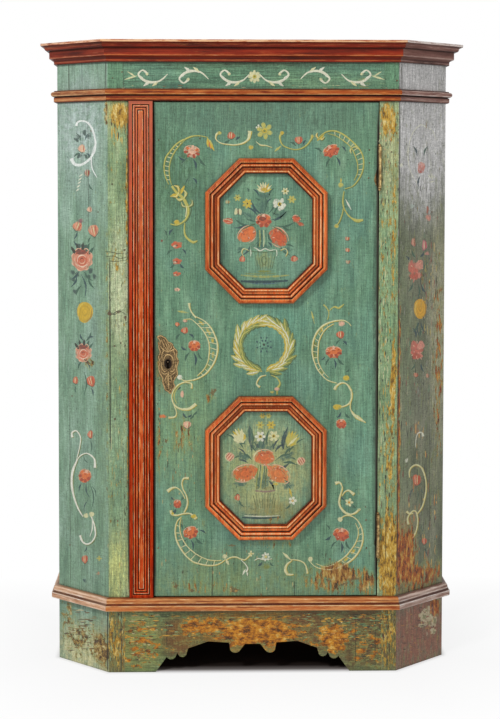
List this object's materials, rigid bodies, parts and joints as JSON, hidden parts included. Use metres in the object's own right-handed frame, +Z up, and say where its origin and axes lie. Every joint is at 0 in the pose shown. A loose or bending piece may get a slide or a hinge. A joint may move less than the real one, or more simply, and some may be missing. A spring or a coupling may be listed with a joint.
{
  "type": "painted farmhouse cupboard with one door",
  "caption": "Tall painted softwood cupboard with canted front corners, a hinged door with raised octagonal frames, mouldings and an arched plinth.",
  "frame": {"origin": "on the floor, under the middle of the cupboard's overall box", "axes": "+Z up, -Y out of the front, +X to the right as seen from the front"},
  "size_m": [1.223, 0.492, 1.8],
  "materials": {
    "green_paint": "worn green oil paint on spruce",
    "red_paint": "worn red oil paint on spruce",
    "bare_spruce": "bare aged spruce",
    "iron": "dark wrought iron",
    "brass": "embossed sheet brass, tarnished"
  },
  "bodies": {
    "carcass": {"back_board_1": "bare_spruce", "back_board_2": "bare_spruce", "back_board_3": "bare_spruce", "back_board_4": "bare_spruce", "base_moulding_cant_left": "red_paint", "base_moulding_cant_right": "red_paint", "base_moulding_front": "red_paint", "base_moulding_side_left": "red_paint", "base_moulding_side_right": "red_paint", "cant_board_left": "green_paint", "cant_board_right": "green_paint", "cant_frieze_left": "green_paint", "cant_frieze_right": "green_paint", "cornice_cant_left": "red_paint", "cornice_cant_right": "red_paint", "cornice_front": "red_paint", "cornice_side_left": "red_paint", "cornice_side_right": "red_paint", "door_stop": "bare_spruce", "floor_battens": "bare_spruce", "floor_board": "bare_spruce", "frieze_front": "green_paint", "hinge_lower_frame_half": "iron", "hinge_pins": "iron", "hinge_upper_frame_half": "iron", "lock_keeper": "iron", "plinth_front": "green_paint", "reeded_strip": "red_paint", "shelf_battens_lower": "bare_spruce", "shelf_battens_middle": "bare_spruce", "shelf_battens_upper": "bare_spruce", "shelf_lower": "bare_spruce", "shelf_middle": "bare_spruce", "shelf_upper": "bare_spruce", "side_wall_left": "green_paint", "side_wall_right": "green_paint", "stile_left": "green_paint", "stile_right": "green_paint", "top_board": "bare_spruce", "waist_moulding_cant_left": "red_paint", "waist_moulding_cant_right": "red_paint", "waist_moulding_front": "red_paint", "waist_moulding_side_left": "red_paint", "waist_moulding_side_right": "red_paint"},
    "door": {"door_batten_lower": "bare_spruce", "door_batten_upper": "bare_spruce", "door_board_left": "green_paint", "door_board_middle": "green_paint", "door_board_right": "green_paint", "hinge_lower_door_half": "iron", "hinge_upper_door_half": "iron", "keyhole_plate": "brass", "keyhole_plate_nails": "brass", "lock_case": "iron", "lock_drill_pin": "iron", "lock_nails": "iron", "octagon_frame_lower": "red_paint", "octagon_frame_upper": "red_paint"},
    "lock_bolt": {"lock_bolt": "iron"}
  },
  "joints": [
    {"name": "door_hinge", "type": "hinge", "parent": "carcass", "child": "door", "pos_m": [0.3565, -0.206, 0.9], "axis": [0, 0, 1], "range_deg": [0, 170]},
    {"name": "lock_bolt_slide", "type": "slide", "parent": "door", "child": "lock_bolt", "axis": [-1, 0, 0], "range_m": [0, 0.018]}
  ]
}
